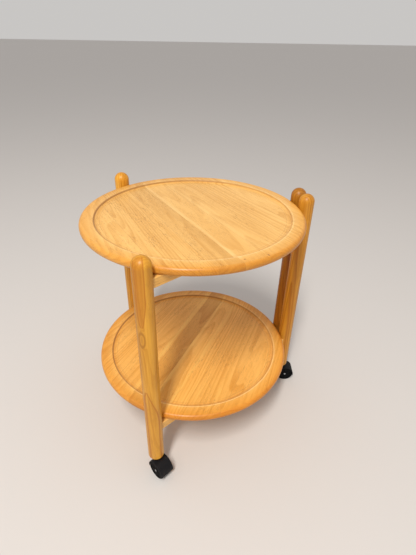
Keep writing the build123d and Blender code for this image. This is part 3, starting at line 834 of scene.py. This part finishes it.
def hood_shell():
    """Ribbed arch over both wheels."""
    base = HOOD_RADIUS - RIB_HEIGHT
    half = HOOD_HALF_WIDTH
    pitch = 2.0 * (half - RIB_MARGIN) / RIBS
    outer = [(-half, base - CORNER_DROP), (-half + CORNER_WIDTH, HOOD_RADIUS)]
    for number in range(RIBS):
        start = -half + RIB_MARGIN + number * pitch
        groove_end = start + GROOVE_SHARE * pitch
        outer += [(start, HOOD_RADIUS), (start + RIB_FLANK, base)]
        outer += [(groove_end, base), (groove_end + RIB_FLANK, HOOD_RADIUS)]
    outer += [(half - CORNER_WIDTH, HOOD_RADIUS), (half, base - CORNER_DROP)]
    section = outer + [(half, HOOD_ROOM_RADIUS), (-half, HOOD_ROOM_RADIUS)]
    rings = []
    for step in range(HOOD_STEPS + 1):
        angle = -HOOD_SKIRT_ANGLE + (math.pi + 2.0 * HOOD_SKIRT_ANGLE) * step / HOOD_STEPS
        rings.append([(r * math.cos(angle), y, r * math.sin(angle)) for y, r in section])
    builder = bmesh.new()
    loft(builder, rings, closed=False)
    return solid_object("hood_shell", builder, HOOD_NYLON)


def arc_points(radius, start, sweep, steps):
    """Points of an arc in the XZ plane, as (x, z)."""
    angles = [start + sweep * step / steps for step in range(steps + 1)]
    return [(radius * math.cos(angle), radius * math.sin(angle)) for angle in angles]


def hood_web():
    """Upright web between the wheels, down to the boss round the axle."""
    radius = HOOD_ROOM_RADIUS + WEB_OVERLAP
    skirt = HOOD_RADIUS * math.sin(HOOD_SKIRT_ANGLE)
    start = -math.asin(skirt / radius)
    low = math.asin(skirt / AXLE_BOSS_RADIUS)
    outline = arc_points(radius, start, math.pi - 2.0 * start, WEB_STEPS)
    outline += arc_points(AXLE_BOSS_RADIUS, math.pi + low, math.pi - 2.0 * low, AXLE_BOSS_STEPS)
    builder = bmesh.new()
    rings = [[(x, y, z) for x, z in outline] for y in (-WEB_HALF_THICKNESS, WEB_HALF_THICKNESS)]
    loft(builder, rings, closed=False)
    return solid_object("hood_web", builder, HOOD_NYLON)


def make_hood(name, place):
    """Moulded hood: ribbed arch, web and stem boss joined, with rooms for the wheels and bores."""
    hood = hood_shell()
    join_solids(hood, hood_web(), "UNION")
    boss = cylinder_object("stem_boss", STEM_BOSS_RADIUS, -STEM_BOSS_HIGH, -STEM_BOSS_LOW)
    boss.data.transform(Matrix.Rotation(math.radians(-90), 4, "X"))
    boss.data.transform(Matrix.Translation((-CASTER_TRAIL, 0.0, 0.0)))
    join_solids(hood, boss, "UNION")
    for side in (-1.0, 1.0):
        near = side * WEB_HALF_THICKNESS
        far = side * (HOOD_HALF_WIDTH + MM)
        room = cylinder_object("wheel_room", HOOD_ROOM_RADIUS, min(near, far), max(near, far))
        join_solids(hood, room, "DIFFERENCE")
    bore = cylinder_object("axle_bore", AXLE_BORE_RADIUS, -HOOD_HALF_WIDTH, HOOD_HALF_WIDTH)
    join_solids(hood, bore, "DIFFERENCE")
    hood.data.transform(place)
    finish_mesh(hood.data, HOOD_SMOOTH_ANGLE)
    hood.name = name
    hood.data.name = name
    return hood


def build_casters():
    for corner in CORNERS:
        place = caster_place(corner)
        hood = make_hood(f"{corner}_ribbed_hood", place)
        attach(hood, f"{corner}_caster")
        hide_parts(f"{corner}_caster_hood")
        across = place.to_3x3() @ Vector((0.0, 1.0, 0.0))
        for which in ("near", "far"):
            node = f"{corner}_caster_{which}_wheel"
            centre = middle(node)
            outward = 1.0 if across.dot(centre - place.translation) > 0 else -1.0
            wheel_place = place.copy()
            wheel_place.translation = centre
            wheel = make_wheel(f"{corner}_{which}_spoked_wheel", wheel_place, outward)
            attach(wheel, f"{corner}_{which}_wheel")
            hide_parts(node)


build_casters()


# ---------------------------------------------------------------- floor, light and camera
FLOOR_REACH = 80.0
FLOOR_COLOUR = (0.66, 0.63, 0.61, 1.0)
FLOOR_ROUGHNESS, FLOOR_SPECULAR = 0.9, 0.2


def build_stage():
    builder = bmesh.new()
    bmesh.ops.create_grid(builder, x_segments=1, y_segments=1, size=FLOOR_REACH)
    material, _, principled = new_material("studio_floor")
    principled.inputs["Base Color"].default_value = FLOOR_COLOUR
    principled.inputs["Roughness"].default_value = FLOOR_ROUGHNESS
    principled.inputs["Specular IOR Level"].default_value = FLOOR_SPECULAR
    floor = solid_object("studio_floor", builder, material)


KEY_AZIMUTH = 242.0  # degrees from +X
KEY_ELEVATION = 54.0
KEY_DISTANCE = 4.0
KEY_WIDTH = 0.45
KEY_HEIGHT = 1.5
KEY_POWER = 145.0
KEY_COLOUR = (1.0, 0.96, 0.90)
SKY_STRENGTH = 0.58
SKY_COLOUR = (1.0, 0.975, 0.95, 1.0)


def build_light():
    """A tall soft key to the left of the camera, and an even white sky."""
    azimuth, elevation = math.radians(KEY_AZIMUTH), math.radians(KEY_ELEVATION)
    flat = Vector((math.cos(azimuth), math.sin(azimuth), 0.0))
    towards = math.cos(elevation) * flat + Vector((0.0, 0.0, math.sin(elevation)))
    key = bpy.data.lights.new("key", "AREA")
    key.shape = "RECTANGLE"
    key.size = KEY_WIDTH
    key.size_y = KEY_HEIGHT
    key.energy = KEY_POWER
    key.color = KEY_COLOUR
    lamp = bpy.data.objects.new("key", key)
    lamp.location = TRAY_AXIS + KEY_DISTANCE * towards
    lamp.rotation_euler = towards.to_track_quat("Z", "Y").to_euler()
    bpy.context.scene.collection.objects.link(lamp)
    world = bpy.data.worlds.new("sky")
    world.use_nodes = True
    sky = world.node_tree.nodes["Background"]
    sky.inputs["Color"].default_value = SKY_COLOUR
    sky.inputs["Strength"].default_value = SKY_STRENGTH
    bpy.context.scene.world = world


FRAME_HEIGHT = 36.0  # millimetres, as is the focal length
FOCAL_LENGTH = 24.77
CAMERA_PLACE = Vector((-0.2370, -0.8756, 1.0113))
CAMERA_HEADING = 74.89  # degrees from +X
CAMERA_DOWN = 31.48
CAMERA_ROLL = 1.17
CAMERA_SHIFT = (0.005, -0.014)
NEAREST_SEEN = 0.01


def build_camera():
    data = bpy.data.cameras.new("camera")
    data.sensor_fit = "VERTICAL"
    data.sensor_height = FRAME_HEIGHT
    data.lens = FOCAL_LENGTH
    data.shift_x, data.shift_y = CAMERA_SHIFT
    data.clip_start = NEAREST_SEEN
    camera = bpy.data.objects.new("camera", data)
    bpy.context.scene.collection.objects.link(camera)
    turn = Matrix.Rotation(math.radians(CAMERA_HEADING - 90.0), 4, "Z")
    tilt = Matrix.Rotation(math.radians(90.0 - CAMERA_DOWN), 4, "X")
    roll = Matrix.Rotation(math.radians(CAMERA_ROLL), 4, "Z")
    camera.matrix_world = Matrix.Translation(CAMERA_PLACE) @ turn @ tilt @ roll
    bpy.context.scene.camera = camera


build_stage()
build_light()
build_camera()
bpy.context.scene.view_settings.view_transform = "Standard"
